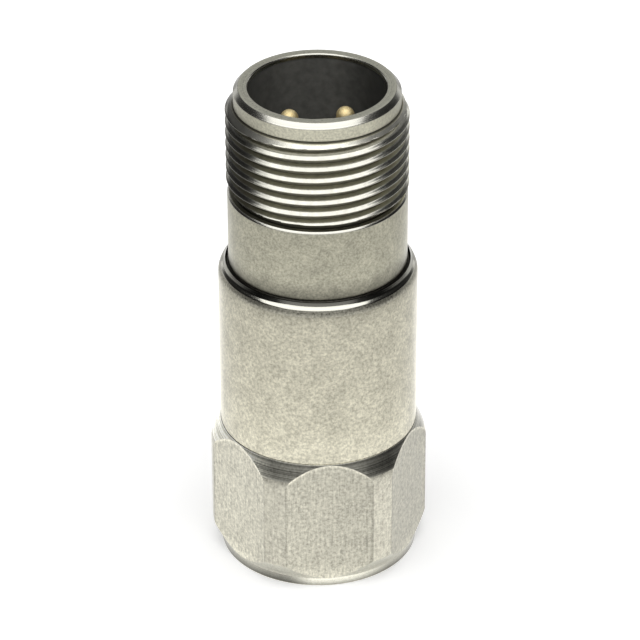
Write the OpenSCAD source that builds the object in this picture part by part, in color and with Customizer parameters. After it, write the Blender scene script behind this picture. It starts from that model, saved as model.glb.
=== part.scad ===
// Industrial vibration sensor: a stud-mounted shear accelerometer in a welded steel case,
// with a two-pin threaded connector on top. Millimetres, +Z up, origin at the centre of the mounting face.

/* [Hexagon base] */
// Height of the round foot under the hexagon
foot_h = 0.95; // [0.6:0.05:1.5]
// How far the round foot stands inside the case's diameter
foot_inset = 0.02; // [0:0.01:0.2]
// Chamfer on the foot's lower edge
foot_edge = 0.3; // [0.1:0.05:0.5]
// How far the wrench flats stand outside the case (11/16 inch across flats in all)
flat_proud = 0.08; // [0.02:0.01:0.3]
// How far the hexagon's rounded corners stand outside the case
corner_proud = 0.9; // [0.6:0.05:1.2]
// Height of the cone below the flats
lower_cone_h = 1.3; // [0.8:0.05:2]
// Height of the hexagon at full width
hex_h = 9.05; // [7:0.05:12]
// Height of the cone above the flats
upper_cone_h = 1.45; // [1:0.05:2.2]

/* [Mounting hole] */
// Tapping diameter of the 1/4-28 stud hole
tap_d = 5.5; // [4.5:0.1:6.5]
// Depth of the stud hole's straight wall, below its countersink
tap_depth = 6.4; // [5:0.1:8]
// Width of the countersink at the hole's mouth
tap_sink = 0.5; // [0.3:0.05:0.8]

/* [Case] */
// Diameter of the case
body_d = 17.3; // [16.8:0.1:20]
// Wall of the case
case_wall = 0.95; // [0.8:0.05:1.2]
// Depth of the base's spigot inside the case
spigot_h = 2; // [1.5:0.1:3]
// Height of the sloping shoulder
shoulder_h = 1.05; // [0.8:0.05:1.4]
// Width of the steeper bevel round the shoulder's lower edge
shoulder_edge = 0.18; // [0.06:0.02:0.3]
// Thickness of the case's top wall
case_top_t = 1.7; // [1.5:0.1:2.5]
// Free height above the shield can, for the leads
lead_room = 2.2; // [1.8:0.1:4]

/* [Connector shell] */
// Diameter of the plain barrel
barrel_d = 15.5; // [15.2:0.1:16.2]
// Height of the plain barrel
barrel_h = 6.65; // [5.5:0.05:10]
// Chamfer on the barrel's upper edge
barrel_edge = 0.25; // [0.1:0.05:0.4]
// Width of the barrel's seat on the case
joint_land = 0.7; // [0.5:0.05:0.8]
// Outer diameter of the coupling thread (5/8-24)
thread_d = 15.67; // [15.6:0.01:15.84]
// Thread turns per inch
thread_tpi = 24; // [20:1:28]
// Number of thread turns
thread_turns = 8; // [5:1:11]
// Diameter of the plain pilot above the thread
pilot_d = 14.2; // [14:0.05:14.5]
// Height of the pilot
pilot_h = 1.03; // [0.6:0.01:1.6]
// Height of the chamfer on the rim's outer edge
rim_chamfer_h = 0.42; // [0.3:0.02:0.7]
// Width of the chamfer on the rim's outer edge
rim_chamfer_w = 0.39; // [0.1:0.01:0.5]
// Height of the lip that holds the insert in
lip_h = 0.4; // [0.3:0.05:0.6]
// Chamfer inside the lip
lip_edge = 0.15; // [0.05:0.01:0.2]

/* [Socket and pins] */
// Bore of the plug socket
socket_d = 11.95; // [11.4:0.05:12.3]
// Depth of the socket from the rim to the insert's face
socket_depth = 10.4; // [9:0.1:12]
// Wall of the insulating insert
insert_wall = 0.3; // [0.2:0.05:0.35]
// Thickness of the insert's floor
insert_floor_t = 2.6; // [2:0.1:3.5]
// Thickness of the seal header
header_t = 2; // [1.5:0.1:2.4]
// Diameter of the glass bead round each pin
bead_d = 2.8; // [2.4:0.1:3.4]
// Diameter of the contact pins
pin_d = 1.588; // [1.4:0.01:1.7]
// Distance between the contact pins
pin_spacing = 4.78; // [4.2:0.02:5.4]
// Depth of the pin tips below the rim
pin_recess = 2.18; // [1.5:0.01:3]
// Length of pin below the header
pin_tail = 1.5; // [1.3:0.1:1.8]
// Depth of the solder cup in a pin's tail
cup_depth = 1; // [0.6:0.1:1.2]
// Width of the polarising key
key_w = 1.5; // [1.2:0.05:2]
// Height of the polarising key above the bore
key_reach = 0.8; // [0.5:0.05:1.1]
// Depth of the key's top below the rim
key_recess = 0.28; // [0.2:0.02:0.5]

/* [Sensing element] */
// Thickness of the ceramic disc under the element
insulator_t = 0.8; // [0.5:0.05:1.2]
// Thickness of the post's flange
flange_t = 1.2; // [0.8:0.1:2]
// Thickness of the post's upright web
web_t = 2.4; // [2:0.1:3]
// Width of the post's web
web_w = 7; // [6:0.1:7.6]
// Width of a piezo plate
plate_w = 6; // [5:0.1:6.8]
// Height of a piezo plate
plate_h = 4.4; // [4:0.1:5.5]
// Thickness of a piezo plate
plate_t = 0.6; // [0.4:0.05:0.9]
// Thickness of a contact foil
foil_t = 0.12; // [0.08:0.01:0.2]
// Width of a contact foil's solder tab
tab_w = 1; // [0.6:0.1:2]
// Thickness of a seismic mass under a bolt head
mass_seat_t = 1.5; // [1.2:0.1:1.8]
// Diameter of the preload bolt
bolt_d = 1.6; // [1.4:0.1:1.8]
// Diameter of the bolt's head
bolt_head_d = 2.8; // [2.6:0.1:3]
// Height of the bolt's head
bolt_head_h = 1; // [0.8:0.1:1.2]
// Width across the nut's flats
nut_af = 2.8; // [2.6:0.1:3]
// Height of the nut
nut_h = 1.1; // [0.9:0.1:1.3]

/* [Electronics] */
// Wall of the insulating sleeve
sleeve_t = 0.3; // [0.2:0.05:0.35]
// Sheet thickness of the shield can
shield_t = 0.3; // [0.2:0.05:0.35]
// Wall of the board's spacer ring
spacer_t = 0.6; // [0.4:0.05:0.7]
// Thickness of the circuit board
board_t = 0.8; // [0.6:0.1:1.6]
// Free height above the circuit board
part_room = 1.5; // [1.3:0.1:2.5]
// Diameter of an output lead
lead_d = 0.9; // [0.7:0.05:1]

/* [Fits] */
// Radial gap of parts that are welded or pressed together
weld_fit = 0.02; // [0.01:0.01:0.05]
// Radial gap round a glass bead and round its pin
seal_fit = 0.01; // [0.005:0.005:0.02]
// Radial gap of parts that slide in by hand
slip_fit = 0.05; // [0.03:0.01:0.1]
// Gap round the preload bolt, and between the element and its neighbours
free_gap = 0.3; // [0.2:0.05:0.4]

/* [Hidden] */
$fn = 96;
inch = 25.4;
overcut = 1;
flank_angle = 30;
drill_point_angle = 59;

// Radii of the base and the case, then inwards
body_r = body_d / 2;
foot_r = body_r - foot_inset;
flat_r = body_r + flat_proud;
hex_r = body_r + corner_proud;
barrel_r = barrel_d / 2;
case_in_r = body_r - case_wall;
case_open_r = barrel_r - joint_land;
sleeve_r = case_in_r - 2 * slip_fit;
shield_r = sleeve_r - sleeve_t - slip_fit;
spacer_r = shield_r - shield_t - slip_fit;
element_r = spacer_r - spacer_t - free_gap;
tap_r = tap_d / 2;

// Thread form
pitch = inch / thread_tpi;
thread_r = thread_d / 2;
thread_depth = 0.6134 * pitch;
crest_flat = pitch / 8;
flank_run = thread_depth * tan(flank_angle);

// Connector radii
pilot_r = pilot_d / 2;
socket_r = socket_d / 2;
insert_r = socket_r + insert_wall;
shell_bore_r = insert_r + weld_fit;
pin_r = pin_d / 2;
bead_r = bead_d / 2;
lead_r = lead_d / 2;
cup_r = lead_r + slip_fit;
pin_x = pin_spacing / 2;

// Heights of the base
hex_low_z = foot_h + lower_cone_h;
hex_high_z = hex_low_z + hex_h;
case_seat_z = hex_high_z + upper_cone_h;
deck_z = case_seat_z + spigot_h;

// Heights of the sensing element and the board over it
element_z = deck_z + insulator_t;
web_z = element_z + flange_t;
plate_z = web_z + free_gap;
plate_top_z = plate_z + plate_h;
web_top_z = plate_top_z + free_gap;
board_z = web_top_z + 2 * free_gap;
board_top_z = board_z + board_t;
shield_top_z = board_top_z + part_room + shield_t;

// Heights of the case and the connector
ceiling_z = shield_top_z + lead_room;
joint_z = ceiling_z + case_top_t;
shoulder_z = joint_z - shoulder_h;
barrel_top_z = joint_z + barrel_h;
thread_top_z = barrel_top_z + (thread_turns - 1) * pitch + crest_flat + 2 * flank_run;
pilot_top_z = thread_top_z + pilot_h;
rim_z = pilot_top_z + rim_chamfer_h;
shell_low_z = ceiling_z + free_gap;
socket_floor_z = rim_z - socket_depth;
header_top_z = socket_floor_z - insert_floor_t;
header_z = header_top_z - header_t;
pin_low_z = header_z - pin_tail;
pin_tip_z = rim_z - pin_recess;

// Depths of the shear sandwich on each side of the web
plate_y = web_t / 2;
foil_y = plate_y + plate_t;
mass_y = foil_y + foil_t;
seat_y = mass_y + mass_seat_t;
bolt_z = plate_z + plate_h / 2;
bolt_hole_r = bolt_d / 2 + free_gap;
recess_r = max(bolt_head_d, nut_af / cos(30)) / 2 + slip_fit;

// Parts on the circuit board: name, centre in X and Y, and length, width and height
board_parts = [
    ["amplifier_chip", [0, 0], [2.6, 2.4, 0.9]],
    ["filter_capacitor", [0, 3.4], [2, 1.25, 1.2]],
    ["bias_resistor", [-1.4, -3.4], [1.6, 0.8, 0.5]],
    ["gain_resistor", [1.4, -3.4], [1.6, 0.8, 0.5]]
];

// A turned shape from its half section, given as [radius, height] points
module turned(section) {
    rotate_extrude() polygon(section);
}

// A tube that stands on height z
module tube(outer_r, inner_r, z, h) {
    translate([0, 0, z]) difference() {
        cylinder(r = outer_r, h = h);
        translate([0, 0, -overcut]) cylinder(r = inner_r, h = h + 2 * overcut);
    }
}

// A round bar along Y, from y0 over a length
module bar_y(r, y0, length) {
    translate([0, y0, bolt_z]) rotate([-90, 0, 0]) cylinder(r = r, h = length);
}

// Places its children at pin A (side -1) or pin B (side 1)
module at_pin(side) {
    translate([side * pin_x, 0, 0]) children();
}

// The stud hole: countersunk mouth, straight wall, drill point
module stud_hole() {
    wall_top_z = tap_sink + tap_depth;
    turned([
        [0, -overcut], [tap_r + tap_sink + overcut, -overcut], [tap_r, tap_sink],
        [tap_r, wall_top_z], [0, wall_top_z + tap_r / tan(drill_point_angle)]
    ]);
}

// Hexagon base, turned and milled from bar, with the spigot that enters the case
module base() {
    color("silver") difference() {
        union() {
            intersection() {
                turned([
                    [0, 0], [foot_r - foot_edge, 0], [foot_r, foot_edge], [foot_r, foot_h], [hex_r, hex_low_z],
                    [hex_r, hex_high_z], [body_r, case_seat_z], [0, case_seat_z]
                ]);
                cylinder(r = flat_r / cos(30), h = case_seat_z, $fn = 6);
            }
            translate([0, 0, case_seat_z - overcut]) cylinder(r = case_in_r - weld_fit, h = spigot_h + overcut);
        }
        stud_hole();
    }
}

// Tubular case with its sloping shoulder and its opening for the connector
module case() {
    color("gainsboro") turned([
        [case_in_r, case_seat_z], [body_r, case_seat_z],
        [body_r, shoulder_z], [body_r - shoulder_edge, shoulder_z + 2 * shoulder_edge],
        [barrel_r, joint_z], [case_open_r, joint_z], [case_open_r, ceiling_z], [case_in_r, ceiling_z]
    ]);
}

// Half section of the coupling thread, drawn as rings: pitch, crest and root are true
function thread_section() = [
    for (turn = [0 : thread_turns - 1])
        let (crest_z = barrel_top_z + flank_run + crest_flat / 2 + turn * pitch)
        for (point = [
            [thread_r - thread_depth, -crest_flat / 2 - flank_run], [thread_r, -crest_flat / 2],
            [thread_r, crest_flat / 2], [thread_r - thread_depth, crest_flat / 2 + flank_run]
        ]) [point[0], crest_z + point[1]]
];

// Threaded connector shell: spigot, barrel, thread, pilot, lip and polarising key
module connector_shell() {
    color("darkgray") {
        turned(concat(
            [[shell_bore_r, shell_low_z], [case_open_r - weld_fit, shell_low_z], [case_open_r - weld_fit, joint_z],
             [barrel_r, joint_z], [barrel_r, barrel_top_z - barrel_edge], [barrel_r - barrel_edge, barrel_top_z]],
            thread_section(),
            [[pilot_r, thread_top_z], [pilot_r, pilot_top_z],
             [pilot_r - rim_chamfer_w, rim_z], [socket_r + lip_edge, rim_z], [socket_r, rim_z - lip_edge],
             [socket_r, rim_z - lip_h], [shell_bore_r, rim_z - lip_h]]
        ));
        polarising_key();
    }
}

// The key runs down the front of the bore, from just under the rim to the insert's face
module polarising_key() {
    key_h = socket_depth - key_recess;
    intersection() {
        translate([-key_w / 2, -pilot_r, socket_floor_z])
            cube([key_w, pilot_r - socket_r + key_reach, key_h]);
        tube(shell_bore_r + weld_fit, socket_r - 2 * key_reach, socket_floor_z, key_h);
    }
}

// Moulded insulating insert that lines the socket and carries the pins
module connector_insert() {
    wall_h = rim_z - lip_h - header_top_z;
    slot_w = key_w + 2 * slip_fit;
    color("dimgray") difference() {
        translate([0, 0, header_top_z]) cylinder(r = insert_r, h = wall_h);
        translate([0, 0, socket_floor_z]) cylinder(r = socket_r, h = socket_depth);
        translate([-slot_w / 2, -insert_r - overcut, socket_floor_z])
            cube([slot_w, insert_wall + 2 * overcut, socket_depth]);
        for (side = [-1, 1]) at_pin(side) translate([0, 0, header_top_z - overcut])
            cylinder(r = pin_r + slip_fit, h = insert_floor_t + 2 * overcut);
    }
}

// Steel disc that seals the shell, with a hole for each glass bead
module seal_header() {
    color("lightslategray") translate([0, 0, header_z]) difference() {
        cylinder(r = insert_r, h = header_t);
        for (side = [-1, 1]) at_pin(side) translate([0, 0, -overcut])
            cylinder(r = bead_r + seal_fit, h = header_t + 2 * overcut);
    }
}

module glass_bead(side) {
    color("darkslategray") at_pin(side) tube(bead_r, pin_r + seal_fit, header_z, header_t);
}

// Contact pin: round tip above, solder cup below
module contact_pin(side) {
    color("gold") at_pin(side) difference() {
        union() {
            translate([0, 0, pin_low_z]) cylinder(r = pin_r, h = pin_tip_z - pin_r - pin_low_z);
            translate([0, 0, pin_tip_z - pin_r]) sphere(r = pin_r);
        }
        translate([0, 0, pin_low_z - overcut]) cylinder(r = cup_r, h = cup_depth + overcut);
    }
}

// Lead from the board up into a pin's solder cup
module output_lead(side) {
    color(side < 0 ? "firebrick" : "black") at_pin(side)
        translate([0, 0, board_top_z]) cylinder(r = lead_r, h = pin_low_z + cup_depth - board_top_z);
}

// Ceramic disc that keeps the element and its shield off the case
module base_insulator() {
    color("ivory") translate([0, 0, deck_z]) cylinder(r = sleeve_r, h = insulator_t);
}

// Flanged post with an upright web for the shear sandwich
module element_post() {
    color("silver") difference() {
        union() {
            translate([0, 0, element_z]) cylinder(r = element_r, h = flange_t);
            translate([-web_w / 2, -web_t / 2, web_z - overcut / 2])
                cube([web_w, web_t, web_top_z - web_z + overcut / 2]);
        }
        bar_y(bolt_hole_r, -web_t, 2 * web_t);
    }
}

// One piezo plate against the web: side -1 is the front, 1 the rear
module piezo_plate(side) {
    color("tan") difference() {
        translate([-plate_w / 2, side < 0 ? -foil_y : plate_y, plate_z]) cube([plate_w, plate_t, plate_h]);
        bar_y(bolt_hole_r, -mass_y - overcut, 2 * (mass_y + overcut));
    }
}

// Contact foil between plate and mass, with a tab that reaches the board
module contact_foil(side) {
    color("goldenrod") difference() {
        translate([0, side < 0 ? -mass_y : foil_y, 0]) union() {
            translate([-plate_w / 2, 0, plate_z]) cube([plate_w, foil_t, plate_h]);
            translate([-tab_w / 2, 0, plate_z]) cube([tab_w, foil_t, board_z - plate_z]);
        }
        bar_y(bolt_hole_r, -mass_y - overcut, 2 * (mass_y + overcut));
    }
}

// Seismic mass: a slice of a round bar, recessed for the bolt's head or its nut
module seismic_mass(side) {
    color("slategray") mirror([0, side < 0 ? 0 : 1, 0]) difference() {
        translate([0, 0, plate_z]) cylinder(r = element_r, h = plate_h);
        translate([-element_r - overcut, -mass_y, plate_z - overcut])
            cube([2 * (element_r + overcut), mass_y + element_r + overcut, plate_h + 2 * overcut]);
        bar_y(bolt_hole_r, -element_r - overcut, element_r + overcut);
        bar_y(recess_r, -element_r - overcut, element_r + overcut - seat_y);
    }
}

// Bolt that clamps the sandwich, with its head in the front mass
module preload_bolt() {
    color("dimgray") union() {
        bar_y(bolt_head_d / 2, -seat_y - bolt_head_h, bolt_head_h);
        bar_y(bolt_d / 2, -seat_y - bolt_head_h / 2, 2 * seat_y + nut_h + bolt_head_h / 2);
    }
}

module preload_nut() {
    color("dimgray") difference() {
        translate([0, seat_y, bolt_z]) rotate([-90, 0, 0])
            cylinder(r = nut_af / 2 / cos(30), h = nut_h, $fn = 6);
        bar_y(bolt_d / 2 + weld_fit, seat_y - overcut, nut_h + 2 * overcut);
    }
}

// Ring that holds the board above the element
module board_spacer() {
    color("linen") tube(spacer_r, spacer_r - spacer_t, element_z, board_z - element_z);
}

module circuit_board() {
    color("seagreen") translate([0, 0, board_z]) cylinder(r = spacer_r, h = board_t);
}

module board_part(part) {
    size = part[2];
    color("darkslategray") translate([part[1][0] - size[0] / 2, part[1][1] - size[1] / 2, board_top_z]) cube(size);
}

// Drawn can round the element and its board, with a hole for each lead
module shield_can() {
    color("peru") difference() {
        translate([0, 0, element_z]) cylinder(r = shield_r, h = shield_top_z - element_z);
        translate([0, 0, element_z - overcut])
            cylinder(r = shield_r - shield_t, h = shield_top_z - shield_t - element_z + overcut);
        for (side = [-1, 1]) at_pin(side) translate([0, 0, board_top_z])
            cylinder(r = lead_r + free_gap, h = part_room + shield_t + overcut);
    }
}

module insulating_sleeve() {
    color("orange") tube(sleeve_r, sleeve_r - sleeve_t, element_z, shield_top_z - element_z);
}

base();
case();
connector_shell();
connector_insert();
seal_header();
glass_bead(-1);  // glass_bead_a
glass_bead(1);  // glass_bead_b
contact_pin(-1);  // contact_pin_a
contact_pin(1);  // contact_pin_b
output_lead(-1);  // output_lead_a
output_lead(1);  // output_lead_b
base_insulator();
element_post();
piezo_plate(-1);  // piezo_plate_front
piezo_plate(1);  // piezo_plate_rear
contact_foil(-1);  // contact_foil_front
contact_foil(1);  // contact_foil_rear
seismic_mass(-1);  // seismic_mass_front
seismic_mass(1);  // seismic_mass_rear
preload_bolt();
preload_nut();
board_spacer();
circuit_board();
for (part = board_parts) board_part(part);
shield_can();
insulating_sleeve();
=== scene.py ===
import math

import bpy
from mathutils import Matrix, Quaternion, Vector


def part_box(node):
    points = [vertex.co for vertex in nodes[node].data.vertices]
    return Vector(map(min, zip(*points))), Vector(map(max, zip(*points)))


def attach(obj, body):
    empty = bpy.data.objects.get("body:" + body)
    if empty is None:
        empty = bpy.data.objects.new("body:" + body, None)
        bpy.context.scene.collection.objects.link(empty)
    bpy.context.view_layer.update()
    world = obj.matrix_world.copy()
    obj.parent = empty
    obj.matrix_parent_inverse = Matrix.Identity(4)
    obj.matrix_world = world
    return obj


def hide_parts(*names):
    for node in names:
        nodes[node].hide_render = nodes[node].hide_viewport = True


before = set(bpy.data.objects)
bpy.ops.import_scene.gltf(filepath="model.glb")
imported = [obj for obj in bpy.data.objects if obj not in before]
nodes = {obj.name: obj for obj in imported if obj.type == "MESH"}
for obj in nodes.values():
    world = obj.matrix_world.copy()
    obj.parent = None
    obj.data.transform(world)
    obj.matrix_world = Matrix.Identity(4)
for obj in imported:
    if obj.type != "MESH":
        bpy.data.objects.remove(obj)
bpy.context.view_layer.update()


# Hexagon base. Turned from stainless bar, with six milled wrench flats, a cone above and below
# them, a round foot, and a tapped hole for the mounting stud. It is welded to the case above it.
MM = 0.001
_, base_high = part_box("base")
case_low, case_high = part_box("case")
case_r = case_high[0]
corner_r = base_high[0]
flat_half_angle = math.radians(24)
flat_r = corner_r * math.cos(flat_half_angle)
seat_z = case_low[2]
seat_r = case_r - 0.06 * MM
deck_z = base_high[2]
foot_r = flat_r - 0.01 * MM
foot_z = 0.95 * MM
foot_top_z = foot_z - 0.08 * MM
foot_edge_round = 0.13 * MM
low_round = 0.2 * MM
high_round = 0.6 * MM
flats_low_z = 2.25 * MM
flats_high_z = seat_z - 1.9 * MM
cone_r = case_r + 0.04 * MM
cone_z = seat_z - 0.03 * MM
cone_slope = (corner_r - cone_r) / (cone_z - flats_high_z)
spigot_r = case_r - 0.97 * MM
stud_r = 3.175 * MM
stud_depth = 6.9 * MM
stud_chamfer = 0.2 * MM
drill_point_h = 1.6 * MM
stud_pitch = 25.4 / 28 * MM
stud_minor_r = 2.75 * MM
stud_root_r = stud_r + 0.03 * MM
merge_reach = 0.002 * MM
cut_merge_reach = 0.006 * MM


def eased(corners):
    """A half section whose corners given as (radius, height, reach) are rounded off over
    that reach."""
    section = []
    for i, (r, z, *reach) in enumerate(corners):
        if not reach:
            section.append((r, z))
            continue
        ends = []
        for r_next, z_next, *_ in (corners[i - 1], corners[i + 1]):
            share = reach[0] / math.hypot(r_next - r, z_next - z)
            ends.append((r + (r_next - r) * share, z + (z_next - z) * share))
        for t in (0, 0.12, 0.25, 0.37, 0.5, 0.63, 0.75, 0.88, 1):
            section.append(tuple((1 - t) ** 2 * a + 2 * t * (1 - t) * c + t * t * b
                                 for a, c, b in zip(ends[0], (r, z), ends[1])))
    return section


def turned(name, section, steps=180):
    """Draws a half section of (radius, height) corners by extruding a point, and spins it
    round the axis."""
    bpy.ops.object.select_all(action="DESELECT")
    bpy.ops.mesh.primitive_plane_add(size=MM)
    piece = bpy.context.object
    piece.name = piece.data.name = name
    bpy.ops.object.mode_set(mode="EDIT")
    bpy.ops.mesh.select_mode(type="VERT")
    bpy.ops.mesh.select_all(action="SELECT")
    bpy.ops.mesh.merge(type="CENTER")
    bpy.ops.transform.translate(value=(section[0][0], 0, section[0][1]))
    for (r0, z0), (r1, z1) in zip(section, section[1:]):
        bpy.ops.mesh.extrude_region_move(
            TRANSFORM_OT_translate={"value": (r1 - r0, 0, z1 - z0)})
    bpy.ops.mesh.select_all(action="SELECT")
    bpy.ops.mesh.spin(steps=steps, angle=2 * math.pi, center=(0, 0, 0), axis=(0, 0, 1))
    bpy.ops.mesh.select_all(action="SELECT")
    bpy.ops.mesh.remove_doubles(threshold=merge_reach)
    bpy.ops.mesh.normals_make_consistent(inside=False)
    bpy.ops.object.mode_set(mode="OBJECT")
    bpy.ops.object.shade_smooth_by_angle(angle=math.radians(22))
    return piece


def soften_edges(piece, width, angle, edge_slot=-1):
    """Breaks the sharp edges by a fine round, as tumbling and handling do."""
    bpy.ops.object.select_all(action="DESELECT")
    piece.select_set(True)
    bpy.context.view_layer.objects.active = piece
    bevel = piece.modifiers.new("edge", "BEVEL")
    bevel.width = width
    bevel.segments = 2
    bevel.limit_method = "ANGLE"
    bevel.angle_limit = math.radians(angle)
    bevel.material = edge_slot
    bpy.ops.object.modifier_apply(modifier="edge")
    bpy.ops.object.shade_smooth_by_angle(angle=math.radians(40))
    weigh = piece.modifiers.new("weigh", "WEIGHTED_NORMAL")
    weigh.keep_sharp = True
    bpy.ops.object.modifier_apply(modifier="weigh")


def helix_ridge(name, corners, pitch, first_turn, last_turn, zero_z, root_r, fade,
                per_turn=144, blank=()):
    """Winds a closed section of (radius, height) corners up a right-hand helix, fading out at
    both ends. The turned blank, as (height, radius) points from below, is all the metal that
    there is to cut it from."""
    turns = last_turn - first_turn
    bpy.ops.object.select_all(action="DESELECT")
    bpy.ops.mesh.primitive_circle_add(vertices=len(corners), radius=MM, fill_type="NOTHING")
    ridge = bpy.context.object
    ridge.name = ridge.data.name = name
    start = 2 * math.pi * first_turn
    for v, (r, z) in zip(ridge.data.vertices, corners):
        v.co = (r * math.sin(start), -r * math.cos(start), zero_z + z + pitch * first_turn)
    wind = ridge.modifiers.new("wind", "SCREW")
    wind.axis = "Z"
    wind.angle = 2 * math.pi * turns
    wind.screw_offset = pitch * turns
    wind.steps = wind.render_steps = round(turns * per_turn)
    wind.use_merge_vertices = False
    wind.use_smooth_shade = False
    bpy.ops.object.modifier_apply(modifier="wind")
    for v in ridge.data.vertices:
        around = math.atan2(v.co.x, -v.co.y) / (2 * math.pi)
        turn = round((v.co.z - zero_z) / pitch - around) + around
        keep = min(1.0, max(0.0, min(turn - first_turn, last_turn - turn) / fade))
        r = math.hypot(v.co.x, v.co.y)
        new_r = root_r + (r - root_r) * keep * keep * (3 - 2 * keep)
        for (z0, r0), (z1, r1) in zip(blank, blank[1:]):
            if z0 <= v.co.z < z1:
                new_r = min(new_r, r0 + (r1 - r0) * (v.co.z - z0) / (z1 - z0))
        v.co.x *= new_r / r
        v.co.y *= new_r / r
    bpy.ops.object.mode_set(mode="EDIT")
    bpy.ops.mesh.select_mode(type="EDGE")
    bpy.ops.mesh.select_all(action="DESELECT")
    bpy.ops.mesh.select_non_manifold()
    bpy.ops.mesh.fill_holes(sides=0)
    bpy.ops.mesh.select_all(action="SELECT")
    bpy.ops.mesh.normals_make_consistent(inside=False)
    bpy.ops.object.mode_set(mode="OBJECT")
    bpy.ops.object.shade_smooth_by_angle(angle=math.radians(25))
    return ridge


def join(piece, *others):
    """Makes other meshes part of a piece, which keeps its name."""
    bpy.ops.object.select_all(action="DESELECT")
    for other in (*others, piece):
        other.select_set(True)
    bpy.context.view_layer.objects.active = piece
    bpy.ops.object.join()


hexagon_base = turned("hexagon_base", eased([
    (0, stud_depth + drill_point_h), (stud_r, stud_depth),
    (stud_r, stud_chamfer), (stud_r + stud_chamfer, 0),
    (foot_r, 0, foot_edge_round), (foot_r, foot_top_z, low_round),
    (corner_r, flats_low_z, low_round), (corner_r, flats_high_z, high_round),
    (cone_r, cone_z), (seat_r, seat_z), (spigot_r, seat_z), (spigot_r, deck_z), (0, deck_z),
]))
bpy.ops.object.mode_set(mode="EDIT")
for flat in range(6):
    turn = math.radians(60 * flat)
    out = (math.sin(turn), -math.cos(turn), 0)
    bpy.ops.mesh.select_all(action="SELECT")
    bpy.ops.mesh.bisect(plane_co=[flat_r * c for c in out], plane_no=out, use_fill=True,
                        clear_outer=True, threshold=0.0002 * MM)
bpy.ops.mesh.select_all(action="SELECT")
bpy.ops.mesh.remove_doubles(threshold=cut_merge_reach)
bpy.ops.mesh.normals_make_consistent(inside=False)
bpy.ops.object.mode_set(mode="OBJECT")


def finish(name, colour, roughness, metallic=1.0):
    """A new material, with its node tree and its shader."""
    material = bpy.data.materials.new(name)
    material.use_nodes = True
    tree = material.node_tree
    shader = tree.nodes["Principled BSDF"]
    shader.inputs["Base Color"].default_value = (*colour, 1)
    shader.inputs["Roughness"].default_value = roughness
    shader.inputs["Metallic"].default_value = metallic
    return material, tree, shader


def node(tree, kind, values=None, **settings):
    """A new node. Each of its values is a socket to link or a plain value."""
    made = tree.nodes.new(kind)
    for key, value in settings.items():
        setattr(made, key, value)
    for key, value in (values or {}).items():
        if hasattr(value, "is_linked"):
            tree.links.new(value, made.inputs[key])
        else:
            made.inputs[key].default_value = value
    return made


def maths(tree, operation, *values):
    """One step of arithmetic on sockets and numbers."""
    made = node(tree, "ShaderNodeMath", dict(enumerate(values)), operation=operation)
    return made.outputs["Value"]


def place(tree):
    """The point's place in the object's frame, in metres."""
    return node(tree, "ShaderNodeTexCoord").outputs["Object"]


def along(tree, axis):
    """The point's place along one axis."""
    return node(tree, "ShaderNodeSeparateXYZ", {"Vector": place(tree)}).outputs[axis]


def sideways(tree):
    """Distance from the plane of the key, to either side."""
    return maths(tree, "ABSOLUTE", along(tree, "X"))


def off_axis(tree):
    """Distance from the sensor's axis."""
    flat = node(tree, "ShaderNodeVectorMath", {0: place(tree), 1: (1, 1, 0)},
                operation="MULTIPLY").outputs["Vector"]
    return node(tree, "ShaderNodeVectorMath", {0: flat}, operation="LENGTH").outputs["Value"]


def around_axis(tree):
    """Distance from the axis and height, so that a pattern runs in rings as lathe marks do."""
    return node(tree, "ShaderNodeCombineXYZ",
                {"X": off_axis(tree), "Y": along(tree, "Z")}).outputs["Vector"]


def grain(tree, vector, scale, detail=3.0, rough=0.6, stretch=(1, 1, 1)):
    """Noise of so many grains to the metre."""
    mapping = node(tree, "ShaderNodeMapping", {"Vector": vector, "Scale": stretch})
    return node(tree, "ShaderNodeTexNoise",
                {"Vector": mapping.outputs["Vector"], "Scale": scale, "Detail": detail,
                 "Roughness": rough}).outputs["Fac"]


def spread(tree, value, low, high, start=0.3, end=0.7, blend="LINEAR"):
    """Runs from low to high while the value goes from start to end."""
    return node(tree, "ShaderNodeMapRange",
                {"Value": value, "From Min": start, "From Max": end, "To Min": low,
                 "To Max": high}, interpolation_type=blend).outputs["Result"]


def tint(tree, value, dark, light):
    """A colour between two, each of them a plain colour or a socket."""
    ends = [c if hasattr(c, "is_linked") else (*c, 1) for c in (dark, light)]
    return node(tree, "ShaderNodeMix", {"Factor": value, 6: ends[0], 7: ends[1]},
                data_type="RGBA").outputs[2]


def average(tree, a, b, share):
    """A value between a and b, with b's share in it."""
    return node(tree, "ShaderNodeMix", {0: share, 2: a, 3: b}, data_type="FLOAT").outputs[0]


def shade(tree, colour, value):
    """The colour multiplied by a value."""
    return node(tree, "ShaderNodeVectorMath", {0: colour, "Scale": value},
                operation="SCALE").outputs["Vector"]


def uneven(tree, pattern, roughness, less=0.06, more=0.08):
    """A roughness that varies a little with a pattern."""
    return spread(tree, pattern, roughness - less, roughness + more)


def coat(tree, shader, colour, gloss, height, strength, depth):
    """Links colour, roughness and a shallow relief into the shader."""
    bump = node(tree, "ShaderNodeBump",
                {"Height": height, "Strength": strength, "Distance": depth})
    tree.links.new(colour, shader.inputs["Base Color"])
    tree.links.new(gloss, shader.inputs["Roughness"])
    tree.links.new(bump.outputs["Normal"], shader.inputs["Normal"])


def faded(material, measure, first, last, start, end):
    """Multiplies the material's colour by a factor that runs from first to last along an axis
    or another measure."""
    tree = material.node_tree
    value = along(tree, measure) if isinstance(measure, str) else measure(tree)
    factor = spread(tree, value, first, last, start, end)
    colour = tree.nodes["Principled BSDF"].inputs["Base Color"]
    tree.links.new(shade(tree, colour.links[0].from_socket, factor), colour)


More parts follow.
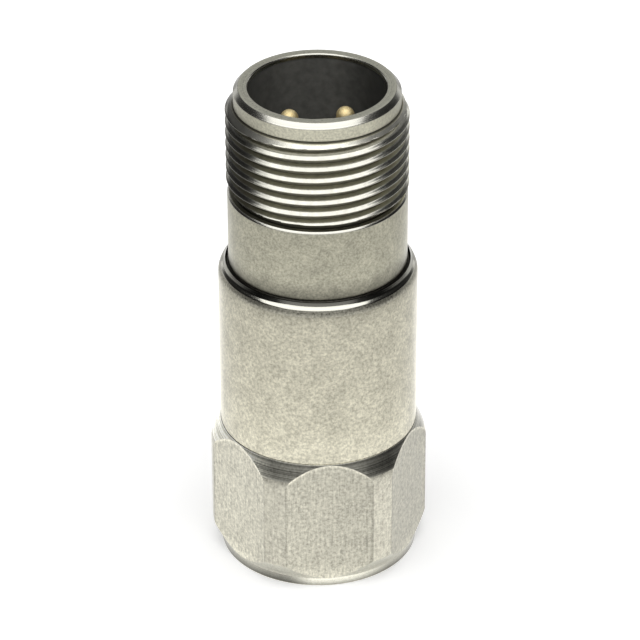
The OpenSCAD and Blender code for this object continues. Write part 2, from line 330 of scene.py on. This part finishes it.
def drawn_steel(name, dark, light, roughness, left, right):
    """Bar stock: short streaks along the axis under a fine blasted speckle, with painted shade
    on one side and painted light on the other, and painted light towards the foot."""
    material, tree, shader = finish(name, light, roughness)
    streak = grain(tree, place(tree), 1, detail=4, stretch=(5600, 5600, 560))
    speckle = grain(tree, place(tree), 3200, detail=5, rough=0.8)
    both = average(tree, streak, speckle, 0.7)
    colour = tint(tree, spread(tree, both, 0, 1, 0.39, 0.61), dark, light)
    coat(tree, shader, colour, uneven(tree, streak, roughness), both, 0.5, 0.008 * MM)
    faded(material, "X", left, right, -8 * MM, 8 * MM)
    faded(material, "Z", 1.3, 1, foot_z, flats_low_z)
    return material


def lathe_steel(name, dark, light, roughness, ring, depth, share=0.45):
    """Turned steel: fine rings round the axis under a slight speckle."""
    material, tree, shader = finish(name, light, roughness)
    rings = grain(tree, around_axis(tree), ring, detail=2)
    speckle = grain(tree, place(tree), 5200, detail=3)
    both = average(tree, rings, speckle, share)
    colour = tint(tree, spread(tree, both, 0, 1, 0.4, 0.6), dark, light)
    coat(tree, shader, colour, uneven(tree, both, roughness, 0.05, 0.07), rings, 0.4, depth)
    return material


def inside_arc(tree):
    """How far a point of a flat lies within the upper cone, which is nothing on the arc where
    they meet."""
    cone = maths(tree, "MULTIPLY_ADD", along(tree, "Z"), -cone_slope,
                 cone_r + cone_slope * cone_z)
    return maths(tree, "SUBTRACT", cone, off_axis(tree))


def inside_strip(tree):
    """How far a point of a flat lies within the bar, which is nothing on the upright edges of
    the flat."""
    return maths(tree, "SUBTRACT", corner_r, off_axis(tree))


# The flats have painted light on the left, painted shade on the right and a painted highlight
# along their arcs, and they are darker along their upright edges.
flat_steel = drawn_steel(
    "drawn_flat_steel", (0.30, 0.289, 0.241), (0.67, 0.646, 0.54),
    roughness=0.34, left=1.05, right=0.78)
faded(flat_steel, inside_arc, first=1.42, last=1, start=0.05 * MM, end=0.14 * MM)
faded(flat_steel, inside_strip, first=0.74, last=1, start=0.02 * MM, end=0.09 * MM)
# The corner strips have painted shade on the left and painted light on the right.
strip_steel = drawn_steel(
    "turned_corner_steel", (0.30, 0.288, 0.242), (0.59, 0.569, 0.476),
    roughness=0.30, left=0.94, right=1.2)
# The upper cone has painted highlights at both sides and painted shade right of the front.
cone_steel = lathe_steel(
    "lathe_cut_cone_steel", (0.13, 0.127, 0.11), (0.48, 0.471, 0.406),
    roughness=0.33, ring=7000, depth=0.010 * MM, share=0.25)
faded(cone_steel, "X", first=2.6, last=1, start=-6.4 * MM, end=-4.8 * MM)
faded(cone_steel, "X", first=1, last=2.6, start=6.9 * MM, end=7.9 * MM)
faded(cone_steel, "X", first=1, last=0.4, start=2.8 * MM, end=5.4 * MM)
# The foot has painted shade along its lower edge and a painted shadow left of the front, with
# painted highlights at the front and at the far left.
foot_steel = lathe_steel(
    "turned_foot_steel", (0.62, 0.605, 0.52), (0.82, 0.805, 0.71),
    roughness=0.26, ring=16000, depth=0.004 * MM)
faded(foot_steel, "Z", first=0.36, last=1, start=0.1 * MM, end=0.66 * MM)
faded(foot_steel, "Y", first=1.16, last=0.6, start=-8.5 * MM, end=-6.9 * MM)
faded(foot_steel, "X", first=0.42, last=1, start=-3.4 * MM, end=-1.4 * MM)
faded(foot_steel, "X", first=2, last=1, start=-6.4 * MM, end=-4.2 * MM)
under_steel = lathe_steel(
    "shaded_under_cone_steel", (0.36, 0.35, 0.293), (0.58, 0.567, 0.485),
    roughness=0.34, ring=9000, depth=0.006 * MM)
# A darker finish on the rounded upright edges between the flats and the corner strips.
darker_upright_edge = drawn_steel(
    "darker_upright_edge_steel", (0.24, 0.234, 0.20), (0.40, 0.39, 0.335),
    roughness=0.34, left=1, right=1)
# Painted highlight on the rounded edges where the flats meet the upper cone.
arc_edge_highlight = drawn_steel(
    "highlighted_arc_edge_steel", (0.66, 0.64, 0.55), (0.90, 0.88, 0.78),
    roughness=0.34, left=1, right=1)
FLAT, STRIP, CONE, FOOT, UNDER, UPRIGHT, ARC = range(7)
for steel in (flat_steel, strip_steel, cone_steel, foot_steel, under_steel, darker_upright_edge,
              arc_edge_highlight):
    hexagon_base.data.materials.append(steel)
soften_edges(hexagon_base, width=0.1 * MM, angle=17, edge_slot=UPRIGHT)
foot_reach_z = foot_z + 0.06 * MM
seat_face_z = seat_z - 0.02 * MM
strip_from_r = corner_r - 0.3 * MM
foot_under_tilt, arc_tilt, cone_tilt = 0.2, 0.12, 0.3
for f in hexagon_base.data.polygons:
    tilt = f.normal.z
    if f.center.z < foot_reach_z or f.center.z > seat_face_z:
        f.material_index = UNDER if tilt < -foot_under_tilt else FOOT
    elif f.material_index == UPRIGHT:
        if abs(tilt) > arc_tilt:
            f.material_index = ARC if tilt > 0 else UNDER
    elif abs(tilt) > cone_tilt:
        f.material_index = CONE if tilt > 0 else UNDER
    else:
        radius = math.hypot(f.center.x, f.center.y)
        f.material_index = STRIP if radius > strip_from_r else FLAT

stud_root_half_w = 0.42 * MM
stud_crest_half_w = 0.06 * MM
stud_thread = helix_ridge("stud_thread", [
    (stud_root_r, -stud_root_half_w), (stud_minor_r, -stud_crest_half_w),
    (stud_minor_r, stud_crest_half_w), (stud_root_r, stud_root_half_w),
], stud_pitch, first_turn=0.0, last_turn=6.4, zero_z=0.75 * MM, root_r=stud_root_r, fade=0.1,
    per_turn=48)
stud_thread.data.materials.append(foot_steel)
join(hexagon_base, stud_thread)
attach(hexagon_base, "root")
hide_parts("base")


# Sensing element and amplifier. Bonded and soldered up on the base before the case goes on: ceramic
# disc, steel post, piezo plates with their foils and masses, clamp bolt, board, shield and sleeve.
def plain(name, dark, light, roughness, metallic, scale, depth, stretch=(1, 1, 1)):
    """An inner part's own finish: a slight mottle in its colour and gloss over a shallow
    grain."""
    material, tree, shader = finish(name, light, roughness, metallic)
    mottle = grain(tree, place(tree), scale, stretch=stretch)
    colour = tint(tree, spread(tree, mottle, 0, 1), dark, light)
    coat(tree, shader, colour, uneven(tree, mottle, roughness), mottle, 0.3, depth)
    return material


def dress(material, *names):
    """Gives CAD nodes a material."""
    for name in names:
        nodes[name].data.materials.clear()
        nodes[name].data.materials.append(material)


inner_steel = lathe_steel(
    "turned_inner_steel", (0.42, 0.42, 0.40), (0.60, 0.60, 0.57),
    roughness=0.3, ring=14000, depth=0.005 * MM)
dress(inner_steel, "element_post", "preload_bolt", "preload_nut", "seal_header")
white_ceramic = plain(
    "ground_white_ceramic", (0.74, 0.73, 0.68), (0.86, 0.85, 0.80),
    roughness=0.45, metallic=0, scale=4000, depth=0.004 * MM)
dress(white_ceramic, "base_insulator")
piezo_ceramic = plain(
    "silvered_piezo_ceramic", (0.46, 0.40, 0.29), (0.62, 0.55, 0.42),
    roughness=0.5, metallic=0, scale=5000, depth=0.004 * MM)
dress(piezo_ceramic, "piezo_plate_front", "piezo_plate_rear")
foil_brass = plain(
    "rolled_contact_brass", (0.62, 0.48, 0.22), (0.76, 0.61, 0.32),
    roughness=0.28, metallic=1, scale=1, depth=0.002 * MM, stretch=(900, 900, 9000))
dress(foil_brass, "contact_foil_front", "contact_foil_rear")
mass_metal = plain(
    "sintered_mass_metal", (0.24, 0.24, 0.26), (0.38, 0.38, 0.40),
    roughness=0.42, metallic=1, scale=6000, depth=0.006 * MM)
dress(mass_metal, "seismic_mass_front", "seismic_mass_rear")
spacer_plastic = plain(
    "machined_spacer_plastic", (0.72, 0.69, 0.61), (0.82, 0.79, 0.72),
    roughness=0.5, metallic=0, scale=3000, depth=0.004 * MM)
dress(spacer_plastic, "board_spacer")
board_green = plain(
    "green_board_laminate", (0.03, 0.15, 0.07), (0.06, 0.22, 0.11),
    roughness=0.35, metallic=0, scale=2500, depth=0.003 * MM)
dress(board_green, "circuit_board")
chip_black = plain(
    "moulded_chip_black", (0.018, 0.018, 0.019), (0.035, 0.035, 0.036),
    roughness=0.5, metallic=0, scale=7000, depth=0.004 * MM)
dress(chip_black, "amplifier_chip", "bias_resistor", "gain_resistor")
capacitor_tan = plain(
    "fired_capacitor_tan", (0.40, 0.29, 0.17), (0.52, 0.40, 0.25),
    roughness=0.45, metallic=0, scale=6000, depth=0.003 * MM)
dress(capacitor_tan, "filter_capacitor")
shield_brass = plain(
    "drawn_shield_brass", (0.55, 0.44, 0.22), (0.72, 0.60, 0.35),
    roughness=0.3, metallic=1, scale=1, depth=0.003 * MM, stretch=(2500, 2500, 300))
dress(shield_brass, "shield_can")
sleeve_amber = plain(
    "amber_film", (0.42, 0.20, 0.04), (0.55, 0.29, 0.07),
    roughness=0.3, metallic=0, scale=1800, depth=0.003 * MM)
dress(sleeve_amber, "insulating_sleeve")


# Case. A steel tube drawn in at the top, fine blasted all over and then polished on its sloping
# shoulder. It is welded to the base below, and to the connector shell in its top opening.
shell_low, shell_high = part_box("connector_shell")
joint_z = case_high[2]
ceiling_z = joint_z - 1.7 * MM
tube_r = case_r - 0.95 * MM
barrel_r = 7.75 * MM
opening_r = barrel_r - 0.7 * MM
case_foot_round = 0.06 * MM
case_top_z = joint_z - 1.16 * MM
case_top_round = 0.28 * MM
bevel_r = case_r - 0.22 * MM
bevel_z = joint_z - 0.69 * MM
bevel_round = 0.05 * MM
shoulder_low_r = barrel_r + 0.43 * MM
shoulder_low_z = joint_z - 0.45 * MM
shoulder_round = 0.08 * MM
weld_lip_r = barrel_r + 0.28 * MM
weld_lip_z = joint_z - 0.16 * MM
weld_outer_r = barrel_r + 0.12 * MM
weld_outer_z = joint_z - 0.32 * MM
weld_inner_r = barrel_r - 0.15 * MM
weld_inner_z = joint_z - 0.34 * MM
weld_rest_r = barrel_r - 0.3 * MM
weld_rest_z = joint_z - 0.14 * MM
turned_case = turned("turned_case", eased([
    (tube_r, seat_z), (case_r, seat_z, case_foot_round), (case_r, case_top_z, case_top_round),
    (bevel_r, bevel_z, bevel_round), (shoulder_low_r, shoulder_low_z, shoulder_round),
    (weld_lip_r, weld_lip_z), (weld_outer_r, weld_outer_z), (weld_inner_r, weld_inner_z),
    (weld_rest_r, weld_rest_z), (opening_r, weld_rest_z),
    (opening_r, ceiling_z), (tube_r, ceiling_z), (tube_r, seat_z),
]), steps=216)


def blasted_steel(name, dark, light, roughness, fineness, shade_full_z, shade_gone_z, shade_factor):
    """Fine blasting: small pits with darker floors, slightly clouded, and painted shade next to
    a weld."""
    material, tree, shader = finish(name, light, roughness)
    pits = grain(tree, place(tree), fineness, detail=5, rough=0.8)
    cloud = grain(tree, place(tree), 650, detail=3)
    colour = tint(tree, spread(tree, pits, 0, 1, 0.39, 0.61), dark, light)
    colour = shade(tree, colour, spread(tree, cloud, 0.87, 1.13))
    edge = maths(tree, "MULTIPLY_ADD", cloud, 0.5 * MM, along(tree, "Z"))
    colour = shade(tree, colour, spread(tree, edge, shade_factor, 1, shade_full_z, shade_gone_z))
    coat(tree, shader, colour, uneven(tree, pits, roughness), pits, 0.6, 0.008 * MM)
    return material


def polished_steel(name, dark, light, roughness, wave):
    """Mirror polish with the slight waviness of hand work and a few buffing marks round the
    axis."""
    material, tree, shader = finish(name, light, roughness)
    ripple = grain(tree, place(tree), 1100, detail=3)
    buff = grain(tree, around_axis(tree), 9000, detail=2)
    both = average(tree, ripple, buff, 0.3)
    colour = tint(tree, spread(tree, buff, 0, 1), dark, light)
    coat(tree, shader, colour, uneven(tree, buff, roughness, 0.03, 0.05), both, 0.6, wave)
    return material


# The case has painted shade towards its top under the shoulder, and painted light towards its foot.
case_steel = blasted_steel(
    "blasted_case_steel", (0.36, 0.343, 0.275), (0.65, 0.621, 0.498),
    roughness=0.34, fineness=3600, shade_full_z=joint_z - 0.75 * MM, shade_gone_z=joint_z - 2.1 * MM,
    shade_factor=0.76)
faded(case_steel, "Z", first=1.15, last=1, start=seat_z, end=seat_z + 5 * MM)
shoulder_steel = polished_steel(
    "polished_shoulder_steel", (0.50, 0.49, 0.43), (0.64, 0.63, 0.56),
    roughness=0.11, wave=0.018 * MM)
bevel_steel = lathe_steel(
    "scuffed_bevel_steel", (0.30, 0.29, 0.235), (0.58, 0.56, 0.465),
    roughness=0.3, ring=7000, depth=0.008 * MM, share=0.75)
# Painted shade: a dark finish laid in the weld groove and on the shell's spigot.
weld_groove_shade = lathe_steel(
    "shaded_weld_groove_steel", (0.04, 0.038, 0.031), (0.11, 0.105, 0.088),
    roughness=0.45, ring=9000, depth=0.006 * MM)
BODY, SHOULDER, BEVEL, GROOVE = range(4)
for steel in (case_steel, shoulder_steel, bevel_steel, weld_groove_shade):
    turned_case.data.materials.append(steel)
shoulder_from_z = bevel_z - 0.03 * MM
shoulder_from_r = barrel_r + 0.01 * MM
bevel_from_z = joint_z - 1.3 * MM
groove_from_z = joint_z - 0.4 * MM
shoulder_tilt, bevel_tilt = 0.05, 0.16
for f in turned_case.data.polygons:
    if f.center.z > shoulder_from_z and f.normal.z > shoulder_tilt:
        radius = math.hypot(f.center.x, f.center.y)
        f.material_index = SHOULDER if radius > shoulder_from_r else GROOVE
    elif f.center.z > bevel_from_z and f.normal.z > bevel_tilt:
        f.material_index = BEVEL
    elif f.center.z > groove_from_z:
        f.material_index = GROOVE
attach(turned_case, "root")
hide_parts("case")


# Seal header, glass beads and leads. The pins are fused into the header through glass, and two
# stranded leads in coloured sleeving run from the board up into the pins' solder cups.
bead_glass = plain(
    "fused_bead_glass", (0.012, 0.03, 0.024), (0.03, 0.06, 0.05),
    roughness=0.12, metallic=0, scale=3000, depth=0.001 * MM)
dress(bead_glass, "glass_bead_a", "glass_bead_b")
red_sleeving = plain(
    "red_lead_sleeving", (0.36, 0.02, 0.015), (0.47, 0.035, 0.025),
    roughness=0.4, metallic=0, scale=3000, depth=0.002 * MM)
dress(red_sleeving, "output_lead_a")
black_sleeving = plain(
    "black_lead_sleeving", (0.014, 0.014, 0.014), (0.028, 0.028, 0.028),
    roughness=0.4, metallic=0, scale=3000, depth=0.002 * MM)
dress(black_sleeving, "output_lead_b")


# Contact pins. Turned from copper alloy with hemispherical tips, and plated in gold. They are
# fused into the header's glass beads and stand up through the floor of the insert.
pin_gold = lathe_steel(
    "plated_pin_gold", (0.80, 0.63, 0.31), (0.98, 0.86, 0.54),
    roughness=0.58, ring=12000, depth=0.003 * MM)
dress(pin_gold, "contact_pin_a", "contact_pin_b")


# Connector insert. One moulding in black thermoset that lines the socket, carries the pins in its
# floor and has a slot for the shell's key. It has painted shade at its front and right side, and
# painted light on its back wall.
insert_low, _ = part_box("connector_insert")
insert_black = plain(
    "moulded_insert_black", (0.075, 0.075, 0.069), (0.12, 0.119, 0.11),
    roughness=0.36, metallic=0, scale=1500, depth=0.006 * MM)
faded(insert_black, "Y", first=0.66, last=1.35, start=1.5 * MM, end=5.6 * MM)
faded(insert_black, "X", first=1, last=0.55, start=2 * MM, end=5 * MM)
dress(insert_black, "connector_insert")


# Connector shell. Turned in one piece: spigot in the case, plain barrel, right-hand coupling thread
# with a short lead-in and run-out, pilot, chamfered rim, and the key that sets the plug's position.
rim_z = shell_high[2]
spigot_low_z = shell_low[2]
shell_spigot_r = opening_r - 0.02 * MM
bore_r = 6.295 * MM
socket_r = 5.91 * MM
lip_z = rim_z - 0.4 * MM
lip_chamfer_w = 0.07 * MM
lip_chamfer_h = 0.1 * MM
pilot_r = 7.13 * MM
pilot_break = 0.04 * MM
rim_chamfer_w = 0.41 * MM
rim_chamfer_h = 0.42 * MM
fine_round = 0.03 * MM
wide_round = 0.04 * MM
barrel_low_z = joint_z - 0.04 * MM
barrel_low_round = 0.06 * MM
barrel_foot_r = barrel_r - 0.1 * MM
barrel_foot_z = joint_z - 0.13 * MM
barrel_chamfer = 0.16 * MM
thread_r = 7.835 * MM
pitch = 25.4 / 24 * MM
thread_root_r = thread_r - 0.6134 * pitch
thread_low_z = rim_z - 9.85 * MM
thread_high_z = rim_z - 1.54 * MM
groove_r = thread_root_r - 0.08 * MM
threaded_shell = turned("threaded_shell", eased([
    (bore_r, spigot_low_z), (shell_spigot_r, spigot_low_z), (shell_spigot_r, joint_z),
    (barrel_foot_r, barrel_foot_z), (barrel_r, barrel_low_z, barrel_low_round),
    (barrel_r, thread_low_z - barrel_chamfer, wide_round),
    (barrel_r - barrel_chamfer, thread_low_z, fine_round),
    (groove_r, thread_low_z + 0.03 * MM), (groove_r, thread_low_z + 0.6 * MM),
    (thread_root_r, thread_low_z + 0.66 * MM), (thread_root_r, thread_high_z - 0.1 * MM),
    (groove_r, thread_high_z - 0.06 * MM), (groove_r, thread_high_z - 0.02 * MM),
    (pilot_r - pilot_break, thread_high_z), (pilot_r, thread_high_z + pilot_break),
    (pilot_r, rim_z - rim_chamfer_h, fine_round), (pilot_r - rim_chamfer_w, rim_z, wide_round),
    (socket_r + lip_chamfer_w, rim_z, fine_round), (socket_r, rim_z - lip_chamfer_h, fine_round),
    (socket_r, lip_z), (bore_r, lip_z), (bore_r, spigot_low_z),
]), steps=216)


def thread_steel_with_painted_shade(name):
    """Cut thread: bright crests and outer flanks, with painted shade in the roots and on the inner
    flanks. Towards the lead-in the painted shade keeps closer to the roots."""
    root_shade, flank_shade, clean = (0.10, 0.096, 0.075), (0.40, 0.385, 0.30), (0.62, 0.61, 0.54)
    material, tree, shader = finish(name, (0.6, 0.59, 0.52), 0.18)
    radius = off_axis(tree)
    wipe = grain(tree, place(tree), 1800, detail=3)
    lit_from_r = spread(tree, along(tree, "Z"), 7.53 * MM, 7.26 * MM,
                         rim_z - 4.0 * MM, rim_z - 1.9 * MM)
    proud = maths(tree, "SUBTRACT", radius, lit_from_r)
    highlight_share = spread(tree, proud, 0, 1, 0, 0.03 * MM)
    root_and_flank_shade = tint(tree, spread(tree, radius, 0, 1, 7.16 * MM, 7.25 * MM), root_shade, flank_shade)
    colour = shade(tree, tint(tree, highlight_share, root_and_flank_shade, clean), spread(tree, wipe, 0.88, 1.08))
    gloss = spread(tree, highlight_share, 0.5, 0.2, 0, 1)
    coat(tree, shader, colour, gloss, wipe, 0.5, 0.004 * MM)
    return material


# The barrel has painted shade towards the weld at its foot.
barrel_steel = blasted_steel(
    "fine_blasted_barrel_steel", (0.31, 0.30, 0.236), (0.545, 0.525, 0.414),
    roughness=0.36, fineness=4600, shade_full_z=joint_z + 0.1 * MM, shade_gone_z=joint_z + 1.9 * MM,
    shade_factor=0.36)
thread_steel = thread_steel_with_painted_shade("cut_thread_steel")
# Painted shade on the thread's left side and painted light on its right side.
faded(thread_steel, "X", first=0.42, last=1, start=-6.6 * MM, end=-4.4 * MM)
faded(thread_steel, "X", first=1, last=1.5, start=5.6 * MM, end=7.4 * MM)
rim_steel = lathe_steel(
    "faced_rim_steel", (0.38, 0.377, 0.312), (0.58, 0.573, 0.474),
    roughness=0.3, ring=9000, depth=0.004 * MM, share=0.45)
chamfer_steel = polished_steel(
    "polished_chamfer_steel", (0.54, 0.53, 0.475), (0.68, 0.67, 0.60),
    roughness=0.2, wave=0.006 * MM)
pilot_steel = lathe_steel(
    "ground_pilot_steel", (0.52, 0.503, 0.40), (0.76, 0.738, 0.588),
    roughness=0.32, ring=9000, depth=0.004 * MM, share=0.6)
# Painted shade at both sides of the pilot.
faded(pilot_steel, sideways, first=1, last=0.74, start=3.5 * MM, end=6 * MM)
BARREL, THREAD, RIM, CHAMFER, PILOT, SPIGOT = range(6)
for steel in (barrel_steel, thread_steel, rim_steel, chamfer_steel, pilot_steel, weld_groove_shade):
    threaded_shell.data.materials.append(steel)
thread_top_z = thread_high_z + 0.01 * MM
chamfer_from_z = thread_low_z - 0.3 * MM
pilot_from_r = pilot_r - 0.05 * MM
spigot_top_z = joint_z - 0.03 * MM
chamfer_tilt, level_tilt = 0.2, 0.95
for f in threaded_shell.data.polygons:
    if thread_low_z < f.center.z < thread_top_z:
        f.material_index = THREAD
    elif chamfer_tilt < f.normal.z < level_tilt and f.center.z > chamfer_from_z:
        f.material_index = CHAMFER
    elif f.center.z > thread_high_z:
        radius = math.hypot(f.center.x, f.center.y)
        f.material_index = PILOT if radius > pilot_from_r else RIM
    elif f.center.z < spigot_top_z:
        f.material_index = SPIGOT

# Half of a ridge's section from root to crest, as (radius, half width): the flank is steeper
# outside the shoulder than inside it. It is cut fine, so that lead-in and run-out come out smooth.
shoulder_r = thread_r - 0.285 * MM
flank_step = 0.045 * MM
flank = [(groove_r, 0.5 * MM), (shoulder_r - 0.06 * MM, 0.302 * MM),
         (shoulder_r - 0.03 * MM, 0.287 * MM), (shoulder_r + 0.03 * MM, 0.247 * MM),
         (shoulder_r + 0.06 * MM, 0.22 * MM), (thread_r - 0.09 * MM, 0.095 * MM),
         (thread_r - 0.03 * MM, 0.052 * MM), (thread_r, 0.02 * MM)]
fine_flank = [flank[0]]
for (r0, z0), (r1, z1) in zip(flank, flank[1:]):
    parts = max(1, round((r1 - r0) / flank_step))
    fine_flank += [(r0 + (r1 - r0) * i / parts, z0 + (z1 - z0) * i / parts)
                   for i in range(1, parts + 1)]
ridge = [(r, -z) for r, z in fine_flank] + [(r, z) for r, z in reversed(fine_flank)]
below_z = rim_z - 11 * MM
run_out_z = rim_z - 9.27 * MM
run_out_top_z = rim_z - 9.19 * MM
run_out_r = 7.72 * MM
full_low_z = rim_z - 9.03 * MM
full_high_z = rim_z - 1.98 * MM
lead_in_z = rim_z - 1.68 * MM
lead_in_r = groove_r + 0.12 * MM
lead_in_top_z = rim_z - 1.65 * MM
bare_r = groove_r - 0.05 * MM
coupling_thread = helix_ridge(
    "coupling_thread", ridge, pitch, first_turn=0.3, last_turn=8.7, zero_z=rim_z - 10.3 * MM,
    root_r=groove_r - 0.06 * MM, fade=0.03, blank=[
        (below_z, bare_r), (run_out_z, bare_r), (run_out_top_z, run_out_r),
        (full_low_z, thread_r), (full_high_z, thread_r), (lead_in_z, lead_in_r),
        (lead_in_top_z, bare_r), (rim_z, bare_r)])
coupling_thread.data.materials.append(thread_steel)

key_w = 1.5 * MM
key_deep = 1.12 * MM
key_y = -5.735 * MM
key_top_z = rim_z - 0.37 * MM
key_low_z = insert_low[2] + 2.6 * MM
bpy.ops.object.select_all(action="DESELECT")
bpy.ops.mesh.primitive_cube_add(size=1)
polarising_key = bpy.context.object
polarising_key.name = polarising_key.data.name = "polarising_key"
polarising_key.dimensions = (key_w, key_deep, key_top_z - key_low_z)
polarising_key.location = (0, key_y, (key_top_z + key_low_z) / 2)
bpy.ops.object.transform_apply(location=True, rotation=False, scale=True)
polarising_key.data.materials.append(barrel_steel)
soften_edges(polarising_key, width=0.08 * MM, angle=30)
join(threaded_shell, coupling_thread, polarising_key)
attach(threaded_shell, "root")
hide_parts("connector_shell")


# Floor. A wide sheet of matte white card under the sensor, which shows white and keeps its shadow.
# In reflections it glows with painted light, brightest close to the sensor and right behind it, as
# seen by the camera.
view_turn = math.radians(-6.2)
bpy.ops.object.select_all(action="DESELECT")
bpy.ops.mesh.primitive_circle_add(vertices=64, radius=4, fill_type="NGON")
floor = bpy.context.object
floor.name = floor.data.name = "floor"
floor_card, tree, shader = finish("white_floor_card", (0.9, 0.9, 0.9), 0.8, 0)
shader.inputs["Specular IOR Level"].default_value = 0.1
rays = node(tree, "ShaderNodeLightPath").outputs
away = off_axis(tree)
seen = maths(tree, "MAXIMUM", rays["Is Camera Ray"], rays["Is Transmission Ray"])
shown = maths(tree, "MULTIPLY", seen, spread(tree, away, 0.34, 0.7, 9 * MM, 70 * MM))
near = spread(tree, away, 0.6, 0.0, 20 * MM, 88 * MM)
backwards = (-math.sin(view_turn), math.cos(view_turn), 0)
depth = node(tree, "ShaderNodeVectorMath", {0: place(tree), 1: backwards},
             operation="DOT_PRODUCT").outputs["Value"]
bearing = maths(tree, "DIVIDE", depth, away)
rear = maths(tree, "MULTIPLY", spread(tree, bearing, 0, 1, 0.64, 0.94),
             spread(tree, away, 1.5, 0.05, 40 * MM, 72 * MM))
glow = maths(tree, "ADD", near, rear)
lift = maths(tree, "MULTIPLY_ADD", rays["Is Glossy Ray"], glow, shown)
shader.inputs["Emission Color"].default_value = (1, 1, 1, 1)
tree.links.new(lift, shader.inputs["Emission Strength"])
floor.data.materials.append(floor_card)


# Studio. One broad softbox overhead, a little to the front, in a dim room with a pale horizon
# that is open at both sides, a pale wall high up behind and another in front.
def softbox(name, left, right, front, back, height, radiance):
    """A level rectangle of light over the sensor, square to the camera."""
    side, deep = (left + right) / 2, (front + back) / 2
    bpy.ops.object.light_add(
        type="AREA",
        location=(side * math.cos(view_turn) - deep * math.sin(view_turn),
                  side * math.sin(view_turn) + deep * math.cos(view_turn), height))
    lamp = bpy.context.object
    lamp.name = lamp.data.name = name
    lamp.data.shape = "RECTANGLE"
    lamp.data.size = right - left
    lamp.data.size_y = back - front
    lamp.data.energy = radiance * (right - left) * (back - front) * math.pi
    lamp.rotation_euler = (0, 0, view_turn)


softbox("overhead_softbox", left=-0.52, right=0.445, front=-0.65, back=0.115, height=0.53,
        radiance=1.75)
world = bpy.data.worlds.new("studio_room")
bpy.context.scene.world = world
world.use_nodes = True
tree = world.node_tree
ground = tree.nodes["Background"]
direction = node(tree, "ShaderNodeTexCoord").outputs["Generated"]
turned_way = node(tree, "ShaderNodeMapping",
                  {"Vector": direction, "Rotation": (0, 0, -view_turn)}).outputs["Vector"]
way = node(tree, "ShaderNodeSeparateXYZ", {"Vector": turned_way}).outputs
off_middle = maths(tree, "ABSOLUTE", way["X"])
open_side = spread(tree, off_middle, 1, 0.2, 0.72, 0.92, "SMOOTHSTEP")
low_band = spread(tree, way["Z"], 1, 0.03, 0.03, 0.22, "SMOOTHSTEP")
horizon = maths(tree, "MULTIPLY", low_band, open_side)
rear_slope = maths(tree, "ADD", way["Y"], way["Z"])
rear_wall = spread(tree, rear_slope, 0, 0.56, 0.86, 1.14, "SMOOTHSTEP")
middle = spread(tree, off_middle, 1, 0.3, 0.2, 0.5, "SMOOTHSTEP")
behind = maths(tree, "MULTIPLY", rear_wall, middle)
front_wall = spread(tree, way["Y"], 0, 0.3, -0.55, -0.8, "SMOOTHSTEP")
walls = maths(tree, "MAXIMUM", behind, front_wall)
room = maths(tree, "MAXIMUM", horizon, walls)
ground.inputs["Color"].default_value = (1, 1, 1, 1)
tree.links.new(room, ground.inputs["Strength"])
bpy.context.scene.view_settings.view_transform = "Standard"


# Camera. A long lens at the photograph's height and side, level to within a fraction of a degree.
# Its focal length is solved in pixels of the photograph's 640 pixel wide frame.
reach = 276.62 * MM
camera_aside = 0.166 * MM
camera_z = rim_z + 144.0 * MM
pitch_down = 0.54325
roll = -0.0035
focal_px, frame_px, sensor_w = 3698.75, 640, 36
bpy.ops.object.camera_add(
    location=(reach * math.sin(view_turn) + camera_aside * math.cos(view_turn),
              -reach * math.cos(view_turn) + camera_aside * math.sin(view_turn), camera_z),
    rotation=(math.pi / 2 - pitch_down, 0, view_turn))
camera = bpy.context.object
camera.data.sensor_width = sensor_w
camera.data.lens = focal_px / frame_px * sensor_w
camera.data.clip_start = 0.01
camera.rotation_mode = "QUATERNION"
camera.rotation_quaternion = camera.rotation_quaternion @ Quaternion((0, 0, 1), roll)
bpy.context.scene.camera = camera
